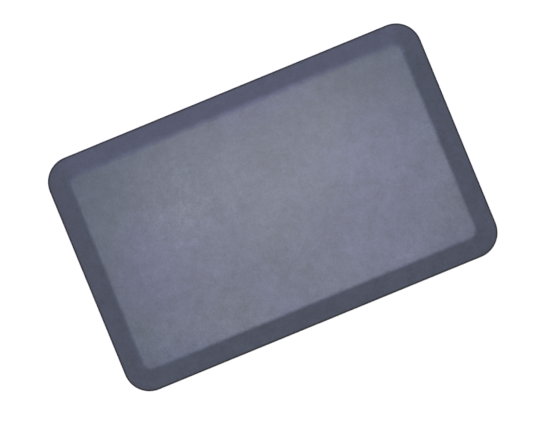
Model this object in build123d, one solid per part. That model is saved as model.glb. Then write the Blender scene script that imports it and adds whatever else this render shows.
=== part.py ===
"""Anti-fatigue standing mat: a bevelled laminated mat with an anti-slip base.

Five bonded pieces, from the floor up:
  base_sheet    anti-slip rubber sheet with moulded nubs and a rim rib; its lip shows all round
  edge_frame    firm foam ring, tapered outwards, that makes the no-trip bevel
  support_foam  springy foam slab inside the ring
  gel_pad       soft gel slab on the support foam
  top_cover     thin moulded skin over the deck and the bevels, bonded down at its rim

Frame: millimetres, +Z up, +X along the length, origin at the middle of the underside.
Every inset is a level distance inwards from the mat's outline.
"""

from build123d import *
import math
import os

# Overall size
mat_length = 812.8
mat_width = 508.0
mat_height = 19.0
corner_radius = 53.0

# Bevel and deck
bevel_width = 44.5
deck_corner_radius = 16.0
crease_radius = 18.0

# Base sheet
sheet_thickness = 1.6
lip_width = 2.0
nub_height = 0.8
nub_diameter = 9.0
nub_pitch = 30.0
nub_margin = 5.0
rib_width = 9.0

# Top cover
cover_thickness = 1.0
cover_flank = 1.0
rim_land = 6.0

# Layers under the cover
ring_land = 6.0
gel_thickness = 6.0

# Clearances
bond_gap = 0.3
pad_clearance = 0.4

# Worked out from the sizes above
sheet_top = nub_height + sheet_thickness
flank_top = sheet_top + cover_flank
bevel_angle = math.atan2(mat_height - flank_top, bevel_width - lip_width)
land_inset = lip_width + rim_land
pocket_inset = bevel_width + ring_land
pad_inset = pocket_inset + pad_clearance
gel_top = mat_height - cover_thickness
gel_bottom = gel_top - gel_thickness


def outline(inset, radius, z):
    """The mat's outline at an inset, with its own corner radius, as a face at height z."""
    return Pos(0, 0, z) * RectangleRounded(mat_length - 2 * inset, mat_width - 2 * inset, radius)


def rim_outline(inset, z):
    """An outline whose corners keep the same centres as the mat's own corners."""
    return outline(inset, corner_radius - inset, z)


def deck_outline(inset, z):
    """An outline whose corners keep the same centres as the deck's corners."""
    return outline(inset, deck_corner_radius + bevel_width - inset, z)


def slab(face, top):
    """A straight-sided slab from a level face up to a height."""
    return extrude(face, amount=top - face.center().Z)


def bevel_height(inset, depth):
    """Height of the bevel at an inset, at a depth under its surface."""
    rise = (inset - lip_width) * math.tan(bevel_angle)
    return flank_top + rise - depth / math.cos(bevel_angle)


def mound(foot_inset, depth):
    """The bevelled body under the mat's upper surface. Its sides stand at foot_inset, its
    slope and deck lie at a depth under the surface, and its crease is rounded."""
    foot_top = bevel_height(foot_inset, depth)
    deck_top = mat_height - depth
    deck_inset = bevel_width + depth * math.tan(bevel_angle / 2)
    foot = slab(rim_outline(foot_inset, sheet_top), foot_top)
    slope = loft([rim_outline(foot_inset, foot_top), deck_outline(deck_inset, deck_top)], ruled=True)
    body = foot + slope
    crease = body.faces().sort_by(Axis.Z)[-1].outer_wire().edges()
    return body.fillet(crease_radius - depth, crease)


def make_top_cover():
    """The skin: the whole mound, less the mound that it covers. Its rim stays solid for the
    width of the bond to the base sheet, and its deck rests on the gel pad."""
    return mound(lip_width, 0) - mound(land_inset, cover_thickness)


def make_edge_frame():
    """The firm foam ring: the mound a bond gap inside the skin, less the pads' pocket."""
    ring = mound(land_inset + bond_gap, cover_thickness + bond_gap)
    return ring - slab(deck_outline(pocket_inset, 0), mat_height)


def make_support_foam():
    """The springy slab that fills the lower part of the ring's pocket."""
    return slab(deck_outline(pad_inset, sheet_top), gel_bottom)


def make_gel_pad():
    """The soft slab that fills the rest of the pocket, up to the skin."""
    return slab(deck_outline(pad_inset, gel_bottom), gel_top)


def nub_places():
    """Centres of the nubs: staggered rows, each nub a margin inside the rim rib."""
    field_inset = rib_width + nub_margin + nub_diameter / 2
    field_x = mat_length / 2 - field_inset
    field_y = mat_width / 2 - field_inset
    field_radius = corner_radius - field_inset
    row_pitch = nub_pitch * math.sqrt(3) / 2
    rows = int(field_y // row_pitch)
    columns = int(field_x // nub_pitch) + 1
    places = []
    for row in range(-rows, rows + 1):
        y = row * row_pitch
        shift = nub_pitch / 2 if row % 2 else 0
        for column in range(-columns, columns + 1):
            x = column * nub_pitch + shift
            past_x = max(abs(x) - field_x + field_radius, 0)
            past_y = max(abs(y) - field_y + field_radius, 0)
            if math.hypot(past_x, past_y) <= field_radius:
                places.append((x, y))
    return places


def make_base_sheet():
    """The rubber sheet, with its nubs and its rim rib left standing under it."""
    sheet = slab(rim_outline(0, 0), sheet_top)
    nubs = Locations(*nub_places()) * Circle(nub_diameter / 2)
    relief = rim_outline(rib_width, 0) - nubs
    return sheet - extrude(relief, amount=nub_height)


pieces = {
    "base_sheet": make_base_sheet,
    "edge_frame": make_edge_frame,
    "support_foam": make_support_foam,
    "gel_pad": make_gel_pad,
    "top_cover": make_top_cover,
}

os.makedirs("parts", exist_ok=True)
for name, make in pieces.items():
    export_step(make(), f"parts/{name}.step")
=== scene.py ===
"""An anti-fatigue standing mat: its five bonded layers, their finishes and a plain stage.

The mat lies flat, with its length along X and its underside on the floor. Every piece is made
from outlines of the mat moved inwards by an inset, which is a level distance from its outer edge.
"""

import math

import bmesh
import bpy
import numpy as np
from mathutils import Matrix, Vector, noise


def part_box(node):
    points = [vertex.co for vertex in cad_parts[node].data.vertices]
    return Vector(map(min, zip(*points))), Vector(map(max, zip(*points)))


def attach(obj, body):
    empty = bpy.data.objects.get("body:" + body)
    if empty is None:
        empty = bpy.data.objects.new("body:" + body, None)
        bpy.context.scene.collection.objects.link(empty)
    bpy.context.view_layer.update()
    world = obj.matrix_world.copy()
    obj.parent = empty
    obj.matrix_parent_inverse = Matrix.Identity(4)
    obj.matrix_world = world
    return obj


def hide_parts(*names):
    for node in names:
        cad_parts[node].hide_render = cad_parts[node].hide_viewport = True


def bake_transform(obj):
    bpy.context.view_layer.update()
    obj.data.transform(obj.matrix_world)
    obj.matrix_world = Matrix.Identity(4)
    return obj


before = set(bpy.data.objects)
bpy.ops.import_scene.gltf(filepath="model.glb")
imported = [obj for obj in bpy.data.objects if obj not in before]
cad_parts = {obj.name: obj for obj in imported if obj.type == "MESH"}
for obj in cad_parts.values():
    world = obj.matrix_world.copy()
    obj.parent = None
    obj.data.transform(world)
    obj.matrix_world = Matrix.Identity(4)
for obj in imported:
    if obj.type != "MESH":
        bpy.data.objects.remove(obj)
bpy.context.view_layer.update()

bl_info = {
    "name": "Anti-fatigue mat",
    "version": (1, 0, 0),
    "blender": (4, 5, 0),
    "location": "3D View > Sidebar > Mat",
    "description": "Makes the layers of a standing mat, their finishes and a plain stage",
    "category": "Add Mesh",
}

MM = 0.001


# --- What the frame says about the layers -------------------------------------------------

_, sheet_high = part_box("base_sheet")
_, cover_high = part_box("top_cover")
ring_low, ring_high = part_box("edge_frame")
foam_low, foam_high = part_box("support_foam")
gel_low, gel_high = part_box("gel_pad")

half_length = sheet_high.x
half_width = sheet_high.y
sheet_top = sheet_high.z
deck_top = cover_high.z


def inset_of(high):
    """How far a layer's side stands inside the mat's outline."""
    return half_length - high.x


# --- Sizes and colours ----------------------------------------------------------------------


def length_property(name, description, default):
    """A length in metres."""
    return bpy.props.FloatProperty(
        name=name, description=description, default=default, min=0, subtype="DISTANCE", unit="LENGTH"
    )


def colour_property(name, description, default):
    """A colour, in linear values."""
    return bpy.props.FloatVectorProperty(
        name=name, description=description, default=default, min=0, max=1, size=3, subtype="COLOR"
    )


class MatSizes(bpy.types.PropertyGroup):
    """Sizes of the mat's layers that the frame's boxes don't give."""

    corner_radius: length_property("Corner radius", "Radius of the mat's corners", 53 * MM)
    bevel_width: length_property("Bevel width", "From the mat's outline to the crease", 44.5 * MM)
    deck_corner_radius: length_property("Deck corner radius", "Radius of the crease's corners", 16 * MM)
    crease_width: length_property("Crease width", "How wide the crease is rounded", 5.5 * MM)
    back_crease_width: length_property(
        "Back crease width", "How wide the crease is rounded along the back", 7 * MM
    )
    flank_height: length_property("Flank height", "Upright stretch of the cover's rim", 1.0 * MM)
    cover_thickness: length_property("Cover thickness", "Thickness of the top cover", 1.0 * MM)
    rim_land: length_property("Rim land", "Width of the cover's bond to the base sheet", 6.0 * MM)
    ring_land: length_property("Ring land", "Flat top of the foam ring inside the crease", 6.0 * MM)
    rib_width: length_property("Rib width", "Width of the rim rib under the base sheet", 9.0 * MM)
    nub_height: length_property("Nub height", "Height of the nubs and the rim rib", 0.8 * MM)
    nub_diameter: length_property("Nub diameter", "Diameter of a nub at the sheet", 9.0 * MM)
    nub_pitch: length_property("Nub pitch", "Distance between neighbouring nubs", 30.0 * MM)
    nub_margin: length_property("Nub margin", "Clear strip between the rim rib and the nubs", 5.0 * MM)
    unevenness: length_property("Unevenness", "How far the deck wanders from flat", 0.16 * MM)


class MatColours(bpy.types.PropertyGroup):
    """Colours of the mat's layers."""

    # The deck's tone, lighter than the bevels', is painted light.
    deck: colour_property("Deck", "Skin of the deck where it is little used", (0.0466, 0.0608, 0.0926))
    # Painted highlight: the paler colour over the deck's middle stands in for the soft box's sheen.
    painted_highlight: colour_property("Highlighted deck", "Paler skin of the deck's middle", (0.1084, 0.1229, 0.1570))
    violet: colour_property("Violet tint", "Added to the skin's cooler patches", (0.004, 0.000, 0.026))
    # The bevels' darker tone is painted shade.
    bevel: colour_property("Bevel", "Smoother skin of the bevels", (0.0434, 0.0515, 0.0796))
    rubber: colour_property("Rubber", "Anti-slip base sheet", (0.006, 0.006, 0.008))
    ring_foam: colour_property("Ring foam", "Firm foam of the edge frame", (0.050, 0.052, 0.060))
    slab_foam: colour_property("Slab foam", "Springy foam of the support slab", (0.110, 0.115, 0.130))
    gel: colour_property("Gel", "Soft gel pad", (0.040, 0.130, 0.240))
    floor: colour_property("Floor", "Plain pale floor", (0.95, 0.95, 0.95))


def sizes():
    return bpy.context.scene.mat_sizes


def colours():
    return bpy.context.scene.mat_colours


# --- Outlines -------------------------------------------------------------------------------


class Steps:
    """How finely an outline is divided: along its length, along its width, round a corner."""

    def __init__(self, along_x, along_y, round_corner):
        self.along_x = along_x
        self.along_y = along_y
        self.half_corner = round_corner // 2
        self.side_x = along_x + 2 * self.half_corner
        self.side_y = along_y + 2 * self.half_corner


FINE = Steps(176, 100, 24)
MEDIUM = Steps(88, 50, 24)


def side_points(half_side, radius, steps_along, half_corner):
    """One side of a rounded rectangle, from corner middle to corner middle: how far along the
    side each point lies, and how far in from it."""
    angles = np.linspace(math.pi / 4, 0, half_corner + 1)
    corner_along = half_side - radius + radius * np.sin(angles)
    corner_in = radius * (1 - np.cos(angles))
    straight = np.linspace(radius - half_side, half_side - radius, steps_along + 1)[1:-1]
    along = np.concatenate([-corner_along, straight, corner_along[::-1]])
    inwards = np.concatenate([corner_in, np.zeros(len(straight)), corner_in[::-1]])
    return along, inwards


def outline(inset, radius, steps):
    """Points round the mat's outline at an inset, anticlockwise from the front left corner."""
    half_x = half_length - inset
    half_y = half_width - inset
    along_x, in_x = side_points(half_x, radius, steps.along_x, steps.half_corner)
    along_y, in_y = side_points(half_y, radius, steps.along_y, steps.half_corner)
    front = np.stack([along_x, in_x - half_y], 1)
    right = np.stack([half_x - in_y, along_y], 1)
    return np.concatenate([front[:-1], right[:-1], -front[:-1], -right[:-1]])


def slope_radius(inset):
    """Corner radius of the mat's upper surface at an inset: the bevel's corners turn from the
    mat's own radius to the crease's, and the deck's keep the crease's centres."""
    size = sizes()
    rim_inset = inset_of(cover_high)
    if inset >= size.bevel_width:
        return size.deck_corner_radius + size.bevel_width - inset
    share = (inset - rim_inset) / (size.bevel_width - rim_inset)
    rim_radius = size.corner_radius - rim_inset
    return rim_radius + share * (size.deck_corner_radius - rim_radius)


def raised(points, heights):
    """Level points with their heights."""
    return np.column_stack([points, np.broadcast_to(heights, len(points))])


# --- Meshes ---------------------------------------------------------------------------------


class Shell:
    """A mesh made of rings of points, joined one to the next, and of caps that fill a ring."""

    def __init__(self, steps):
        self.steps = steps
        self.count = 2 * (steps.side_x + steps.side_y)
        self.points = []
        self.faces = []
        self.size = 0

    def add_ring(self, points):
        """Adds a ring and returns the number of its first point."""
        first = self.size
        self.points.append(points)
        self.size += self.count
        return first

    def join(self, lower, upper):
        """Faces between two rings, given the numbers of their first points."""
        for i in range(self.count):
            j = (i + 1) % self.count
            self.faces.append((lower + i, lower + j, upper + j, upper + i))

    def loft(self, rings):
        """Adds rings joined in turn and returns the numbers of the first and the last one."""
        numbers = [self.add_ring(ring) for ring in rings]
        for lower, upper in zip(numbers, numbers[1:]):
            self.join(lower, upper)
        return numbers[0], numbers[-1]

    def cap(self, ring, facing_up, height=None):
        """Fills a ring with a grid whose rows and columns start at the ring's own points. The
        heights of its inner points come from a function, or from the ring."""
        steps = self.steps
        n, m = steps.side_x, steps.side_y
        rim = np.concatenate(self.points)[ring : ring + self.count]
        front = rim[: n + 1]
        right = rim[n : n + m + 1]
        back = rim[n + m : 2 * n + m + 1][::-1]
        left = np.concatenate([rim[2 * n + m :], rim[:1]])[::-1]
        across = (front[:, 0] - front[0, 0]) / (front[-1, 0] - front[0, 0])
        up = (left[:, 1] - left[0, 1]) / (left[-1, 1] - left[0, 1])
        x = left[None, :, 0] + (right[None, :, 0] - left[None, :, 0]) * across[:, None]
        y = front[:, None, 1] + (back[:, None, 1] - front[:, None, 1]) * up[None, :]
        z = height(x, y) if height else np.full(x.shape, rim[0, 2])
        number = np.zeros((n + 1, m + 1), int)
        number[:, 0] = ring + np.arange(n + 1)
        number[n, :] = ring + n + np.arange(m + 1)
        number[:, m] = ring + n + m + np.arange(n, -1, -1)
        number[0, 1:] = ring + 2 * n + m + np.arange(m - 1, -1, -1)
        inner = (n - 1) * (m - 1)
        number[1:n, 1:m] = self.size + np.arange(inner).reshape(n - 1, m - 1)
        self.points.append(np.stack([x, y, z], -1)[1:n, 1:m].reshape(inner, 3))
        self.size += inner
        quads = np.stack([number[:-1, :-1], number[1:, :-1], number[1:, 1:], number[:-1, 1:]], -1)
        quads = quads.reshape(-1, 4)
        if not facing_up:
            quads = quads[:, ::-1]
        self.faces.extend(map(tuple, quads.tolist()))

    def mesh_object(self, name):
        """The shell as an object at the origin, smooth, with its faces pointing outwards."""
        mesh = bpy.data.meshes.new(name)
        mesh.from_pydata(np.concatenate(self.points).tolist(), [], self.faces)
        return finished_object(name, mesh)


def finished_object(name, mesh):
    """An object at the origin for a mesh, smooth where its faces meet gently."""
    tidy = bmesh.new()
    tidy.from_mesh(mesh)
    bmesh.ops.recalc_face_normals(tidy, faces=tidy.faces)
    tidy.to_mesh(mesh)
    tidy.free()
    mesh.shade_smooth()
    mesh.set_sharp_from_angle(angle=math.radians(40))
    obj = bpy.data.objects.new(name, mesh)
    bpy.context.scene.collection.objects.link(obj)
    return obj


def mesh_points(mesh):
    """A mesh's points as an array."""
    points = np.zeros(len(mesh.vertices) * 3)
    mesh.vertices.foreach_get("co", points)
    return points.reshape(-1, 3)


def smooth_step(value, low, high):
    """0 below low, 1 above high and a smooth turn between them."""
    share = np.clip((value - low) / (high - low), 0, 1)
    return share * share * (3 - 2 * share)


def wander(x, y, wavelength, seed):
    """A smooth, seeded wandering between about -1 and 1 over a level surface."""
    flat_x, flat_y = np.ravel(x), np.ravel(y)
    values = [
        noise.noise(Vector((a / wavelength, b / wavelength, seed))) for a, b in zip(flat_x, flat_y)
    ]
    return np.array(values).reshape(np.shape(x))


def inset_from(x, y, inset, radius):
    """How far inside the mat's outline at an inset the points lie."""
    past_x = np.maximum(np.abs(x) - (half_length - inset - radius), 0)
    past_y = np.maximum(np.abs(y) - (half_width - inset - radius), 0)
    return radius - np.hypot(past_x, past_y)


# --- Heights of the mat's upper surface -----------------------------------------------------


def bevel_slope():
    """Tangent of the bevel's angle."""
    size = sizes()
    rise = deck_top - sheet_top - size.flank_height
    return rise / (size.bevel_width - inset_of(cover_high))


def crease_reach(y):
    """How far the crease's rounding reaches each way from the crease: more along the back."""
    size = sizes()
    back = smooth_step(y, half_width - 2.4 * size.bevel_width, half_width - size.bevel_width)
    return (size.crease_width + back * (size.back_crease_width - size.crease_width)) / 2


def surface_height(inset, y):
    """Height of the mat's upper surface at an inset: the slope, the crease and the deck."""
    size = sizes()
    slope = bevel_slope()
    reach = crease_reach(y)
    before = size.bevel_width - inset
    on_slope = deck_top - slope * before
    in_crease = deck_top - slope * np.square(np.clip(before + reach, 0, None)) / (4 * reach)
    return np.where(before > reach, on_slope, in_crease)


def unevenness(x, y, inset):
    """How far the skin wanders from its ideal surface, mostly downwards, fading out at the rim."""
    fade = smooth_step(inset, inset_of(cover_high), sizes().bevel_width)
    broad = wander(x, y, wavelength=120 * MM, seed=3.1)
    narrow = wander(x, y, wavelength=42 * MM, seed=8.4)
    return sizes().unevenness * fade * (0.75 * broad + 0.35 * narrow - 0.4)


def surface_ring(inset, steps, drop):
    """A layer's surface at an inset, a drop under the mat's ideal upper surface."""
    points = outline(inset, slope_radius(inset), steps)
    return raised(points, surface_height(inset, points[:, 1]) - drop)


def skin_ring(inset, steps):
    """The mat's upper surface at an inset, with its unevenness."""
    ring = surface_ring(inset, steps, 0)
    x, y, _ = ring.T
    ring[:, 2] += unevenness(x, y, inset)
    return ring


# --- Node trees -----------------------------------------------------------------------------


def add_node(tree, kind, inputs=None, **settings):
    """A node with its settings, and with each input given a value or a link."""
    node = tree.nodes.new(kind)
    for name, value in settings.items():
        setattr(node, name, value)
    for key, value in (inputs or {}).items():
        if isinstance(value, bpy.types.NodeSocket):
            tree.links.new(value, node.inputs[key])
        else:
            node.inputs[key].default_value = value
    return node


def math_node(tree, operation, *values):
    """The result of a sum on numbers or sockets."""
    return add_node(tree, "ShaderNodeMath", dict(enumerate(values)), operation=operation).outputs[0]


def product(tree, *factors):
    """Numbers or sockets multiplied together."""
    result = factors[0]
    for factor in factors[1:]:
        result = math_node(tree, "MULTIPLY", result, factor)
    return result


def vector_node(tree, operation, inputs):
    """A node for a sum on vectors or colours."""
    return add_node(tree, "ShaderNodeVectorMath", inputs, operation=operation)


def new_finish(name, roughness, **shader_values):
    """A material with its shader, ready for its colour and its relief."""
    material = bpy.data.materials.new(name)
    material.use_nodes = True
    tree = material.node_tree
    tree.nodes.clear()
    shader = add_node(tree, "ShaderNodeBsdfPrincipled", {"Roughness": roughness, **shader_values})
    add_node(tree, "ShaderNodeOutputMaterial", {"Surface": shader.outputs[0]})
    return material, tree, shader


def place_on_piece(tree):
    """The place on the piece, in metres."""
    return add_node(tree, "ShaderNodeTexCoord").outputs["Object"]


def mottle(tree, where, grain_size, detail=2.0, roughness=0.5, offset=(0.0, 0.0)):
    """A noise between 0 and 1 whose patches are about the given size."""
    shifted = vector_node(tree, "ADD", {0: where, 1: (*offset, 0)}).outputs[0]
    inputs = {"Vector": shifted, "Scale": 1 / grain_size, "Detail": detail, "Roughness": roughness}
    return add_node(tree, "ShaderNodeTexNoise", inputs).outputs["Fac"]


def ramp(tree, value, low, high, to_low=0.0, to_high=1.0):
    """A value taken smoothly from one range to another."""
    inputs = {"Value": value, "From Min": low, "From Max": high, "To Min": to_low, "To Max": to_high}
    kind = "ShaderNodeMapRange"
    return add_node(tree, kind, inputs, interpolation_type="SMOOTHSTEP").outputs["Result"]


def span(tree, value, low, high, to_low, to_high):
    """A value taken in a straight line from one range to another."""
    inputs = {"Value": value, "From Min": low, "From Max": high, "To Min": to_low, "To Max": to_high}
    return add_node(tree, "ShaderNodeMapRange", inputs).outputs["Result"]


def mixed(tree, share, first, second):
    """A colour between two colours."""
    inputs = {"Factor": share, 6: first, 7: second}
    return add_node(tree, "ShaderNodeMix", inputs, data_type="RGBA").outputs[2]


def scaled(tree, colour, factor):
    """A colour made lighter or darker by a factor."""
    return vector_node(tree, "SCALE", {0: colour, "Scale": factor}).outputs[0]


def relief(tree, height, distance, strength=1.0, under=None):
    """A bump from a height, over another bump."""
    inputs = {"Height": height, "Distance": distance, "Strength": strength}
    if under is not None:
        inputs["Normal"] = under
    return add_node(tree, "ShaderNodeBump", inputs).outputs[0]


def rgba(colour):
    return (*colour, 1.0)


# --- Finishes -------------------------------------------------------------------------------


def share_of(tree, name):
    """A share stored on the piece's points."""
    return add_node(tree, "ShaderNodeAttribute", attribute_name=name).outputs["Fac"]


def oval_spot(tree, where, centre, reach, core):
    """1 over the core of a level oval spot, as a share of its reach, and 0 past its reach."""
    scale = (1 / reach[0], 1 / reach[1], 0)
    shift = (-centre[0] / reach[0], -centre[1] / reach[1], 0)
    centred_in = {"Vector": where, "Location": shift, "Scale": scale}
    centred = add_node(tree, "ShaderNodeMapping", centred_in).outputs[0]
    distance = vector_node(tree, "LENGTH", {0: centred}).outputs["Value"]
    return ramp(tree, distance, 1.0, core)


def shade_by(tree, pattern, spread):
    """A brightness that wanders about 1 with a noise, by a spread."""
    centred = math_node(tree, "SUBTRACT", pattern, 0.5)
    return math_node(tree, "MULTIPLY_ADD", centred, spread, 1.0)


def pebble_distance(tree, where, pebble):
    """How far each place lies from the groove round its pebble of grain, in pebbles."""
    stray_in = {"Vector": where, "Scale": 0.4 / pebble}
    stray = add_node(tree, "ShaderNodeTexNoise", stray_in).outputs["Color"]
    strayed = vector_node(tree, "ADD", {0: scaled(tree, stray, pebble), 1: where}).outputs[0]
    cells_in = {"Vector": strayed, "Scale": 1 / pebble}
    cells = add_node(tree, "ShaderNodeTexVoronoi", cells_in, feature="DISTANCE_TO_EDGE")
    return cells.outputs["Distance"]


def skin_colour(tree, where, deck, highlight_patch):
    """The colours of the bevels, darker as painted shade, of the deck, lighter as painted light, and of
    the painted highlight over the deck's middle, with a violet tint in the deck's cooler patches,
    which is fainter under the painted highlight patch."""
    colour = colours()
    # Painted highlight: an oval spot over the deck's middle, paler towards its core.
    painted_highlight = oval_spot(tree, where, centre=(0.042, -0.072), reach=(0.551, 0.470), core=0.39)
    deck_colour = mixed(tree, painted_highlight, rgba(colour.deck), rgba(colour.painted_highlight))
    # Painted light and shade: the deck's lighter tone and the bevels' darker one.
    skin = mixed(tree, deck, rgba(colour.bevel), deck_colour)
    patches = mottle(tree, where, 220 * MM, detail=1.0, roughness=0.5, offset=(21.88, 24.83))
    # The violet tint fades under the painted highlight patch.
    outside_highlight_patch = math_node(tree, "MULTIPLY_ADD", highlight_patch, -0.6, 1.0)
    cool = product(tree, ramp(tree, patches, 0.33, 0.68), outside_highlight_patch, deck)
    tint = scaled(tree, colour.violet, cool)
    return vector_node(tree, "ADD", {0: skin, 1: tint}).outputs[0]


def skin_light(tree, where, deck, highlight_patch, fleck, pebble_edge):
    """The skin's brightness: blotches and flecks that are stronger on the deck, painted shade in the
    grooves round the pebbles, paler flecks of a painted highlight patch and a darker rim."""
    blotch = mottle(tree, where, 160 * MM, detail=3.0, roughness=0.65, offset=(1.01, 4.99))
    # Painted highlight: paler flecks over the patch left of the deck's middle.
    patch_streaks = product(tree, highlight_patch, ramp(tree, fleck, 0.42, 0.72, 0.04, 0.24))
    return product(
        tree,
        shade_by(tree, blotch, span(tree, deck, 0.0, 1.0, 0.40, 0.68)),
        shade_by(tree, fleck, span(tree, deck, 0.0, 1.0, 1.0, 1.38)),
        # Painted shade: the grooves round the pebbles are darker.
        ramp(tree, pebble_edge, 0.0, 0.13, 0.74, 1.06),
        math_node(tree, "ADD", patch_streaks, 1.0),
        # The skin is darker along its rim.
        math_node(tree, "MULTIPLY_ADD", share_of(tree, "rim_share"), -0.72, 1.0),
    )


def skin_relief(tree, where, pebble_edge):
    """The skin's flat-topped pebbles, and faint folds that run over them."""
    pebbles = relief(tree, ramp(tree, pebble_edge, 0.0, 0.22), 0.045 * MM)
    creases = mottle(tree, where, 16 * MM, detail=5.0, roughness=0.6, offset=(1.3, 1.3))
    folds = math_node(tree, "ABSOLUTE", math_node(tree, "SUBTRACT", creases, 0.5))
    return relief(tree, ramp(tree, folds, 0.0, 0.06), 0.06 * MM, 0.6, under=pebbles)


def cover_finish():
    """The moulded leather-look skin: lighter, as painted light, and more mottled on the deck, and
    darker, as painted shade, and smoother in tone on the bevels; painted highlights lie on the deck."""
    material, tree, shader = new_finish("cover_skin", 0.31, **{"Specular IOR Level": 0.4})
    where = place_on_piece(tree)
    deck = share_of(tree, "deck_share")
    # Painted highlight: a pale oval patch left of the deck's middle.
    highlight_patch = oval_spot(tree, where, centre=(-0.165, 0.075), reach=(0.15, 0.11), core=0.0)
    fleck = mottle(tree, where, 24 * MM, detail=4.0, roughness=1.0, offset=(0.4, 0.4))
    pebble_edge = pebble_distance(tree, where, 1.9 * MM)
    skin = skin_colour(tree, where, deck, highlight_patch)
    light = skin_light(tree, where, deck, highlight_patch, fleck, pebble_edge)
    tree.links.new(scaled(tree, skin, light), shader.inputs["Base Color"])
    tree.links.new(skin_relief(tree, where, pebble_edge), shader.inputs["Normal"])
    tree.links.new(ramp(tree, fleck, 0.25, 0.75, 0.28, 0.34), shader.inputs["Roughness"])
    return material


def rubber_finish():
    """Black moulded rubber with a fine matt grain."""
    material, tree, shader = new_finish("grip_rubber", 0.6, **{"Specular IOR Level": 0.25})
    where = place_on_piece(tree)
    dust = mottle(tree, where, 18 * MM, 4.0, 0.6)
    light = ramp(tree, dust, 0.3, 0.8, 0.85, 1.5)
    tree.links.new(scaled(tree, colours().rubber, light), shader.inputs["Base Color"])
    grain = mottle(tree, where, 0.9 * MM, 3.0)
    tree.links.new(relief(tree, grain, 0.08 * MM), shader.inputs["Normal"])
    tree.links.new(ramp(tree, dust, 0.3, 0.7, 0.52, 0.68), shader.inputs["Roughness"])
    return material


def foam_finish(name, colour, cell_size):
    """Foam with open cells."""
    material, tree, shader = new_finish(name, 0.85)
    where = place_on_piece(tree)
    cells_in = {"Vector": where, "Scale": 1 / cell_size, "Randomness": 1.0}
    cells = add_node(tree, "ShaderNodeTexVoronoi", cells_in).outputs["Distance"]
    pores = ramp(tree, cells, 0.1, 0.6, 1.0, 0.0)
    cloud = mottle(tree, where, 25 * MM, 3.0)
    light = product(tree, ramp(tree, pores, 0.0, 1.0, 0.8, 1.1), ramp(tree, cloud, 0.3, 0.7, 0.92, 1.08))
    tree.links.new(scaled(tree, colour, light), shader.inputs["Base Color"])
    tree.links.new(relief(tree, pores, 0.3 * MM), shader.inputs["Normal"])
    tree.links.new(ramp(tree, cloud, 0.3, 0.7, 0.78, 0.92), shader.inputs["Roughness"])
    return material


def gel_finish():
    """Soft, slightly clouded gel."""
    material, tree, shader = new_finish("gel", 0.3, **{"Coat Weight": 0.3, "Coat Roughness": 0.15})
    where = place_on_piece(tree)
    cloud = mottle(tree, where, 30 * MM, 4.0, 0.6)
    light = ramp(tree, cloud, 0.3, 0.7, 0.8, 1.2)
    tree.links.new(scaled(tree, colours().gel, light), shader.inputs["Base Color"])
    tree.links.new(relief(tree, mottle(tree, where, 4 * MM), 0.1 * MM), shader.inputs["Normal"])
    tree.links.new(ramp(tree, cloud, 0.3, 0.7, 0.22, 0.38), shader.inputs["Roughness"])
    return material


def floor_finish():
    """Plain pale floor with the faintest unevenness of tone."""
    material, tree, shader = new_finish("floor", 0.8, **{"Specular IOR Level": 0.1})
    light = ramp(tree, mottle(tree, place_on_piece(tree), 0.5), 0.3, 0.7, 0.995, 1.005)
    tree.links.new(scaled(tree, colours().floor, light), shader.inputs["Base Color"])
    return material


# --- Nubs under the base sheet --------------------------------------------------------------

NUB_FACETS = 16
NUB_LENGTHS = (
    "Field Half Length",
    "Field Half Width",
    "Field Corner Radius",
    "Pitch",
    "Nub Diameter",
    "Nub Height",
)
# Radius and height of a nub's rings from its foot to its top, as shares of the nub's own.
NUB_PROFILE = ((1.0, 0.0), (0.94, 0.55), (0.86, 0.88), (0.78, 1.0))


def geometry_node(tree, kind, inputs=None, **settings):
    """What a geometry node gives first."""
    return add_node(tree, "GeometryNode" + kind, inputs, **settings).outputs[0]


def along(tree, **lengths):
    """A vector from lengths along its axes."""
    return add_node(tree, "ShaderNodeCombineXYZ", lengths).outputs[0]


def joined(tree, *pieces):
    """Pieces of geometry as one."""
    join = add_node(tree, "GeometryNodeJoinGeometry")
    for piece in pieces:
        tree.links.new(piece, join.inputs[0])
    return join.outputs[0]


def nub_tree():
    """Nodes that fill the open underside of the sheet and set moulded nubs in staggered rows."""
    tree = bpy.data.node_groups.new("grip_nubs", "GeometryNodeTree")
    face = tree.interface
    face.new_socket("Geometry", in_out="INPUT", socket_type="NodeSocketGeometry")
    for name in NUB_LENGTHS:
        face.new_socket(name, in_out="INPUT", socket_type="NodeSocketFloat").subtype = "DISTANCE"
    face.new_socket("Material", in_out="INPUT", socket_type="NodeSocketMaterial")
    face.new_socket("Geometry", in_out="OUTPUT", socket_type="NodeSocketGeometry")
    given = add_node(tree, "NodeGroupInput").outputs
    places = nub_places(tree, given)
    lift = along(tree, Z=given["Nub Height"])
    web = sheet_underside(tree, given, places, lift)
    nubs = placed_nubs(tree, given, places, lift)
    whole = joined(tree, given["Geometry"], web, nubs)
    merged = geometry_node(tree, "MergeByDistance", {"Geometry": whole, "Distance": 0.01 * MM})
    real = geometry_node(tree, "RealizeInstances", {0: merged})
    made = geometry_node(tree, "SetMaterial", {"Geometry": real, "Material": given["Material"]})
    add_node(tree, "NodeGroupOutput", {0: made})
    return tree


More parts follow.
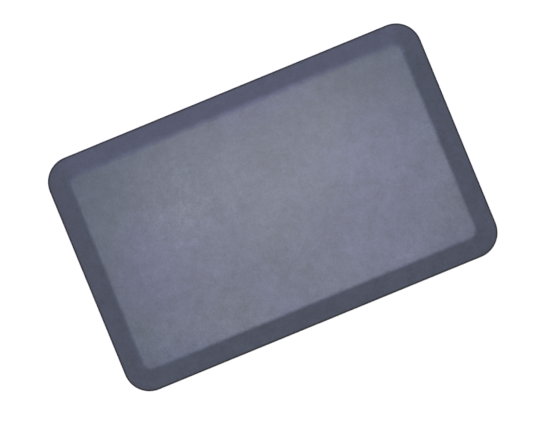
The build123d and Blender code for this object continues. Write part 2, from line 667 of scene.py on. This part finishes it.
def nub_places(tree, given):
    """Points in staggered rows over the rounded field that the nubs fill."""

    def calc(operation, *values):
        return math_node(tree, operation, *values)

    pitch = given["Pitch"]
    row_pitch = calc("MULTIPLY", pitch, math.sqrt(3) / 2)
    half_rows = calc("FLOOR", calc("DIVIDE", given["Field Half Width"], row_pitch))
    half_columns = calc("ADD", calc("FLOOR", calc("DIVIDE", given["Field Half Length"], pitch)), 1)
    grid_in = {
        "Size X": product(tree, half_columns, 2, pitch),
        "Size Y": product(tree, half_rows, 2, row_pitch),
        "Vertices X": calc("MULTIPLY_ADD", half_columns, 2, 1),
        "Vertices Y": calc("MULTIPLY_ADD", half_rows, 2, 1),
    }
    grid = geometry_node(tree, "MeshGrid", grid_in)
    spot = add_node(tree, "ShaderNodeSeparateXYZ", {0: geometry_node(tree, "InputPosition")}).outputs
    row = calc("ROUND", calc("DIVIDE", spot["Y"], row_pitch))
    odd = calc("MODULO", calc("ABSOLUTE", row), 2)
    shift = along(tree, X=product(tree, odd, 0.5, pitch))
    staggered = geometry_node(tree, "SetPosition", {"Geometry": grid, "Offset": shift})
    corner = given["Field Corner Radius"]
    past = []
    for axis, half in (("X", given["Field Half Length"]), ("Y", given["Field Half Width"])):
        straight = calc("SUBTRACT", half, corner)
        past.append(calc("MAXIMUM", calc("SUBTRACT", calc("ABSOLUTE", spot[axis]), straight), 0))
    distance = calc("SQRT", calc("ADD", calc("POWER", past[0], 2), calc("POWER", past[1], 2)))
    rounding_slack = 0.001 * MM
    outside = calc("GREATER_THAN", distance, calc("ADD", corner, rounding_slack))
    return geometry_node(tree, "DeleteGeometry", {"Geometry": staggered, "Selection": outside})


def sheet_underside(tree, given, places, lift):
    """The flat underside inside the rim rib, with a hole for each nub."""
    radius = math_node(tree, "MULTIPLY", given["Nub Diameter"], 0.5)
    circle = geometry_node(tree, "CurvePrimitiveCircle", {"Resolution": NUB_FACETS, "Radius": radius})
    circles = geometry_node(tree, "InstanceOnPoints", {"Points": places, "Instance": circle})
    circles = geometry_node(tree, "RealizeInstances", {0: circles})
    compare_in = {2: geometry_node(tree, "InputMeshEdgeNeighbors"), 3: 1}
    is_open = add_node(tree, "FunctionNodeCompare", compare_in, data_type="INT", operation="EQUAL")
    rim_in = {"Mesh": given["Geometry"], "Selection": is_open.outputs[0]}
    rim = geometry_node(tree, "MeshToCurve", rim_in)
    web = geometry_node(tree, "FillCurve", {0: joined(tree, circles, rim)})
    return geometry_node(tree, "SetPosition", {"Geometry": web, "Offset": lift})


def nub_shape(tree, given):
    """One nub with a flat top, standing on its open foot."""
    radius = math_node(tree, "MULTIPLY", given["Nub Diameter"], 0.5)
    height = given["Nub Height"]
    stages = []
    for (foot, start), (head, end) in zip(NUB_PROFILE, NUB_PROFILE[1:]):
        topmost = end == 1.0
        cone_in = {
            "Vertices": NUB_FACETS,
            "Radius Bottom": product(tree, radius, foot),
            "Radius Top": product(tree, radius, head),
            "Depth": product(tree, height, end - start),
        }
        cone = geometry_node(tree, "MeshCone", cone_in, fill_type="NGON" if topmost else "NONE")
        if topmost:
            cone = without_foot(tree, cone)
        rise = along(tree, Z=product(tree, height, start))
        stages.append(geometry_node(tree, "Transform", {"Geometry": cone, "Translation": rise}))
    return joined(tree, *stages)


def without_foot(tree, cone):
    """A cone without the face that it stands on."""
    normal = geometry_node(tree, "InputNormal")
    up = add_node(tree, "ShaderNodeSeparateXYZ", {0: normal}).outputs["Z"]
    foot_in = {"Geometry": cone, "Selection": math_node(tree, "LESS_THAN", up, -0.9)}
    return geometry_node(tree, "DeleteGeometry", foot_in, domain="FACE", mode="ONLY_FACE")


def placed_nubs(tree, given, places, lift):
    """A nub at each place, hanging from the underside."""
    hung_in = {"Geometry": nub_shape(tree, given), "Translation": lift, "Rotation": (math.pi, 0, 0)}
    hung = geometry_node(tree, "Transform", hung_in)
    nubs = geometry_node(tree, "InstanceOnPoints", {"Points": places, "Instance": hung})
    return geometry_node(tree, "RealizeInstances", {0: nubs})


# --- Baking the pieces in place -------------------------------------------------------------


def give_with_the_deck(piece):
    """Bakes a layer's placing into its points."""
    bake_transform(piece)


# --- Operators ------------------------------------------------------------------------------


class MAT_OT_base_sheet(bpy.types.Operator):
    """Makes the anti-slip rubber sheet, with its rim rib and its nubs"""

    bl_idname = "mat.base_sheet"
    bl_label = "Base sheet"

    def execute(self, context):
        size = sizes()
        edge = 0.4 * MM
        corner = 0.3 * edge
        shell = Shell(MEDIUM)

        def ring(inset, height):
            return raised(outline(inset, size.corner_radius - inset, MEDIUM), height)

        rings = [ring(size.rib_width, size.nub_height), ring(size.rib_width, edge)]
        rings += [ring(size.rib_width - edge, 0), ring(edge, 0)]
        rings += [ring(corner, corner), ring(0, edge), ring(0, sheet_top - edge)]
        rings += [ring(corner, sheet_top - corner), ring(edge, sheet_top)]
        _, last = shell.loft(rings)
        shell.cap(last, facing_up=True)
        piece = self.with_nubs(shell.mesh_object("base_sheet_body"), rubber_finish())
        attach(piece, "base")
        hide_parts("base_sheet")
        return {"FINISHED"}

    def with_nubs(self, body, finish):
        """The sheet's body with its open underside filled in and set with nubs."""
        size = sizes()
        tree = nub_tree()
        modifier = body.modifiers.new("nubs", "NODES")
        modifier.node_group = tree
        field = size.rib_width + size.nub_margin + size.nub_diameter / 2
        values = {
            "Field Half Length": half_length - field,
            "Field Half Width": half_width - field,
            "Field Corner Radius": size.corner_radius - field,
            "Pitch": size.nub_pitch,
            "Nub Diameter": size.nub_diameter,
            "Nub Height": size.nub_height,
            "Material": finish,
        }
        for item in tree.interface.items_tree:
            if item.in_out == "INPUT" and item.name in values:
                modifier[item.identifier] = values[item.name]
        body.update_tag()
        evaluated = body.evaluated_get(bpy.context.evaluated_depsgraph_get())
        mesh = bpy.data.meshes.new_from_object(evaluated)
        bpy.data.objects.remove(body)
        return finished_object("base_sheet_rubber", mesh)


class MAT_OT_edge_frame(bpy.types.Operator):
    """Makes the firm foam ring that shapes the bevels"""

    bl_idname = "mat.edge_frame"
    bl_label = "Edge frame"

    def execute(self, context):
        size = sizes()
        drop = deck_top - ring_high.z
        foot = inset_of(ring_high)
        pocket = size.bevel_width + size.ring_land
        shell = Shell(MEDIUM)

        def wall(inset, height):
            return raised(outline(inset, slope_radius(inset), MEDIUM), height)

        slant = drop * math.hypot(1, bevel_slope())
        edge = 0.3 * MM
        foot_edge = 0.4 * MM
        pocket_edge = 0.6 * MM
        pocket_bow = 0.5 * MM
        insets = [foot + foot_edge]
        insets += [inset * MM for inset in (12, 18, 24, 30, 36, 40, 42.5, 45, 48)]
        rings = [wall(pocket, ring_low.z + MM), wall(pocket - edge, ring_low.z)]
        rings += [wall(foot + edge, ring_low.z), wall(foot, ring_low.z + foot_edge)]
        rings += [wall(foot, surface_height(foot, 0.0) - slant - edge)]
        for inset in insets:
            rings.append(surface_ring(inset, MEDIUM, slant if inset < size.bevel_width else drop))
        rings += [wall(pocket - pocket_edge, ring_high.z), wall(pocket, ring_high.z - pocket_edge)]
        rings += [wall(pocket - pocket_bow, (ring_low.z + ring_high.z) / 2)]
        first, last = shell.loft(rings)
        shell.join(last, first)
        piece = shell.mesh_object("edge_frame_foam")
        piece.data.materials.append(foam_finish("ring_foam", colours().ring_foam, 0.8 * MM))
        give_with_the_deck(piece)
        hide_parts("edge_frame")
        return {"FINISHED"}


def slab_piece(name, low, high, edge, pull):
    """A soft slab with rounded edges, whose sides pull in between their edges."""
    side = inset_of(high)
    shell = Shell(MEDIUM)

    def wall(inset, height):
        return raised(outline(inset, slope_radius(inset), MEDIUM), height)

    rings = []
    for turn in np.linspace(0, math.pi / 2, 4):
        rings.append(wall(side + edge * (1 - math.sin(turn)), low.z + edge * (1 - math.cos(turn))))
    for share in (0.3, 0.5, 0.7):
        bow = pull * 4 * share * (1 - share)
        rings.append(wall(side + bow, low.z + edge + share * (high.z - low.z - 2 * edge)))
    for turn in np.linspace(math.pi / 2, 0, 4):
        rings.append(wall(side + edge * (1 - math.sin(turn)), high.z - edge * (1 - math.cos(turn))))
    first, last = shell.loft(rings)
    shell.cap(first, facing_up=False)
    shell.cap(last, facing_up=True)
    return shell.mesh_object(name)


class MAT_OT_support_foam(bpy.types.Operator):
    """Makes the springy foam slab that fills the lower part of the ring"""

    bl_idname = "mat.support_foam"
    bl_label = "Support foam"

    def execute(self, context):
        piece = slab_piece("support_foam_slab", foam_low, foam_high, edge=0.8 * MM, pull=0.7 * MM)
        piece.data.materials.append(foam_finish("slab_foam", colours().slab_foam, 1.3 * MM))
        give_with_the_deck(piece)
        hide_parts("support_foam")
        return {"FINISHED"}


class MAT_OT_gel_pad(bpy.types.Operator):
    """Makes the soft gel pad that lies on the support foam"""

    bl_idname = "mat.gel_pad"
    bl_label = "Gel pad"

    def execute(self, context):
        piece = slab_piece("gel_pad_slab", gel_low, gel_high, edge=1.2 * MM, pull=0.4 * MM)
        piece.data.materials.append(gel_finish())
        give_with_the_deck(piece)
        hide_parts("gel_pad")
        return {"FINISHED"}


class MAT_OT_top_cover(bpy.types.Operator):
    """Makes the moulded skin over the deck and the bevels"""

    bl_idname = "mat.top_cover"
    bl_label = "Top cover"

    def execute(self, context):
        rim = inset_of(cover_high)
        shell = Shell(FINE)
        outer = self.rim_rings(rim)
        outer += [skin_ring(inset, FINE) for inset in self.slope_insets(rim)]
        inner = self.inner_rings(rim)
        first, last = shell.loft(outer)
        shell.cap(last, facing_up=True, height=self.deck_height)
        inner_first, inner_last = shell.loft(inner)
        shell.join(inner_first, first)
        shell.cap(inner_last, facing_up=False)
        piece = shell.mesh_object("top_cover_skin")
        self.mark_zones(piece.data)
        piece.data.materials.append(cover_finish())
        give_with_the_deck(piece)
        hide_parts("top_cover")
        return {"FINISHED"}

    def rim_rings(self, rim):
        """The cover's upright rim and the round turn from it to the slope."""
        size = sizes()
        lean = math.atan(bevel_slope())
        radius = 0.8 * MM
        turn_start = sheet_top + size.flank_height - radius * math.tan((math.pi / 2 - lean) / 2)
        rings = [raised(outline(rim, slope_radius(rim), FINE), sheet_top)]
        for turn in np.linspace(0, math.pi / 2 - lean, 5):
            inset = rim + radius * (1 - math.cos(turn))
            height = turn_start + radius * math.sin(turn)
            rings.append(raised(outline(inset, slope_radius(inset), FINE), height))
        return rings

    def slope_insets(self, rim):
        """Insets of the rings over the bevel and the crease, closer together at the crease."""
        size = sizes()
        reach = size.back_crease_width / 2
        slope_step = 3.2 * MM
        crease_step = 1.1 * MM
        slope = np.arange(rim + 2.5 * MM, size.bevel_width - reach, slope_step)
        crease = np.arange(size.bevel_width - reach, size.bevel_width + reach + MM, crease_step)
        return [*slope, *crease]

    def deck_height(self, x, y):
        """Height of the deck inside the crease."""
        return deck_top + unevenness(x, y, sizes().bevel_width)

    def inner_rings(self, rim):
        """The cover's underside, from the middle of its bond to the deck."""
        size = sizes()
        land = rim + size.rim_land
        slant = size.cover_thickness * math.hypot(1, bevel_slope())
        insets = [land]
        insets += [inset * MM for inset in (15, 24, 33, 39, 43, 45, 48, 53)]
        rings = [raised(outline(land, slope_radius(land), FINE), sheet_top)]
        for inset in insets:
            drop = slant if inset < size.bevel_width else size.cover_thickness
            rings.append(surface_ring(inset, FINE, drop))
        return rings

    def mark_zones(self, mesh):
        """Stores on each point how far it has the deck's lighter tone, which is painted light and starts
        at the crease, more softly along the back, and how far the skin darkens along its rim."""
        size = sizes()
        x, y, _ = mesh_points(mesh).T
        inside = inset_from(x, y, size.bevel_width, size.deck_corner_radius)
        back = smooth_step(y, half_width - 2 * size.bevel_width, half_width - size.bevel_width)
        start = 1.0 * MM
        width = (6.0 + 7.0 * back) * MM
        # Painted light: the deck's lighter tone rises at the crease and a little more towards the
        # middle.
        deck = 0.80 * smooth_step(inside, start - width, start)
        deck += 0.20 * smooth_step(inside, 0, size.bevel_width)
        rim = inset_of(cover_high)
        from_outline = inset_from(x, y, 0, size.corner_radius)
        # How far the skin darkens along its rim: fully up to 0.6 mm in from the cover's edge, none past
        # 2.2 mm.
        darkened_rim = 1 - smooth_step(from_outline, rim + 0.6 * MM, rim + 2.2 * MM)
        for name, share in (("deck_share", deck), ("rim_share", darkened_rim)):
            attribute = mesh.attributes.new(name, "FLOAT", "POINT")
            attribute.data.foreach_set("value", share.astype(np.float32))


class MAT_OT_stage(bpy.types.Operator):
    """Makes the floor, the lights and the camera"""

    bl_idname = "mat.stage"
    bl_label = "Stage"

    def execute(self, context):
        scene = context.scene
        scene.view_settings.view_transform = "Standard"
        self.make_floor()
        self.make_world(scene)
        self.make_lights()
        self.make_camera(scene)
        return {"FINISHED"}

    def make_floor(self):
        """A wide level floor under the mat."""
        reach = 20.0
        mesh = bpy.data.meshes.new("floor")
        corners = [(-reach, -reach, 0), (reach, -reach, 0), (reach, reach, 0), (-reach, reach, 0)]
        mesh.from_pydata(corners, [], [(0, 1, 2, 3)])
        floor = bpy.data.objects.new("floor", mesh)
        bpy.context.scene.collection.objects.link(floor)
        floor.data.materials.append(floor_finish())

    def make_world(self, scene):
        """Even, soft light from all round."""
        world = bpy.data.worlds.new("studio")
        world.use_nodes = True
        background = world.node_tree.nodes["Background"]
        background.inputs["Color"].default_value = (1.0, 1.0, 1.0, 1.0)
        background.inputs["Strength"].default_value = 0.95
        scene.world = world

    def make_soft_box(self, name, spot, size, irradiance, colour):
        """A soft box aimed at the middle of the mat, with the irradiance that it gives there."""
        data = bpy.data.lights.new(name, "AREA")
        data.shape = "RECTANGLE"
        data.size, data.size_y = size
        data.color = colour
        spot = Vector(spot)
        data.energy = irradiance * math.pi * spot.length_squared
        light = bpy.data.objects.new(name, data)
        light.location = spot
        light.rotation_euler = Vector((0, 0, 1)).rotation_difference(spot).to_euler()
        light.visible_camera = False
        bpy.context.scene.collection.objects.link(light)

    def make_lights(self):
        """A large soft box over the mat, and a cooler, weaker one behind it."""
        white = (1.0, 1.0, 1.0)
        cool = (0.57, 0.51, 0.99)
        self.make_soft_box("soft_box", (0.033, 0.114, 3.1), (0.9, 0.45), 0.60, white)
        self.make_soft_box("cool_fill", (0.0, 2.0, 3.1), (2.0, 1.6), 0.68, cool)

    def make_camera(self, scene):
        """A long lens straight over the mat, turned so that the mat's length climbs to the right."""
        climb = math.radians(22.36)
        frame_width = 1.1008
        data = bpy.data.cameras.new("camera")
        data.lens = 135
        data.clip_end = 100
        camera = bpy.data.objects.new("camera", data)
        distance = frame_width / data.sensor_width * data.lens
        right = Vector((math.cos(climb), -math.sin(climb), 0))
        up = Vector((math.sin(climb), math.cos(climb), 0))
        aim = -3.5 * MM * right - 13.6 * MM * up
        camera.location = aim + Vector((0, 0, distance))
        camera.rotation_euler = (0, 0, -climb)
        scene.collection.objects.link(camera)
        scene.camera = camera


class MAT_PT_parts(bpy.types.Panel):
    """Lists the mat's pieces, sizes and colours"""

    bl_label = "Anti-fatigue mat"
    bl_idname = "MAT_PT_parts"
    bl_space_type = "VIEW_3D"
    bl_region_type = "UI"
    bl_category = "Mat"

    def draw(self, context):
        column = self.layout.column()
        for operator in OPERATORS:
            column.operator(operator.bl_idname)
        for group in (context.scene.mat_sizes, context.scene.mat_colours):
            box = self.layout.box()
            for name in group.__annotations__:
                box.prop(group, name)


GROUPS = (MatSizes, MatColours)
OPERATORS = (
    MAT_OT_stage,
    MAT_OT_base_sheet,
    MAT_OT_edge_frame,
    MAT_OT_support_foam,
    MAT_OT_gel_pad,
    MAT_OT_top_cover,
)
CLASSES = (*GROUPS, *OPERATORS, MAT_PT_parts)


def register():
    for cls in CLASSES:
        bpy.utils.register_class(cls)
    bpy.types.Scene.mat_sizes = bpy.props.PointerProperty(type=MatSizes)
    bpy.types.Scene.mat_colours = bpy.props.PointerProperty(type=MatColours)


def unregister():
    del bpy.types.Scene.mat_colours
    del bpy.types.Scene.mat_sizes
    for cls in reversed(CLASSES):
        bpy.utils.unregister_class(cls)


def main():
    """Makes the whole mat on its stage."""
    register()
    bpy.ops.mat.stage()
    bpy.ops.mat.base_sheet()
    bpy.ops.mat.edge_frame()
    bpy.ops.mat.support_foam()
    bpy.ops.mat.gel_pad()
    bpy.ops.mat.top_cover()


if __name__ == "__main__":
    main()
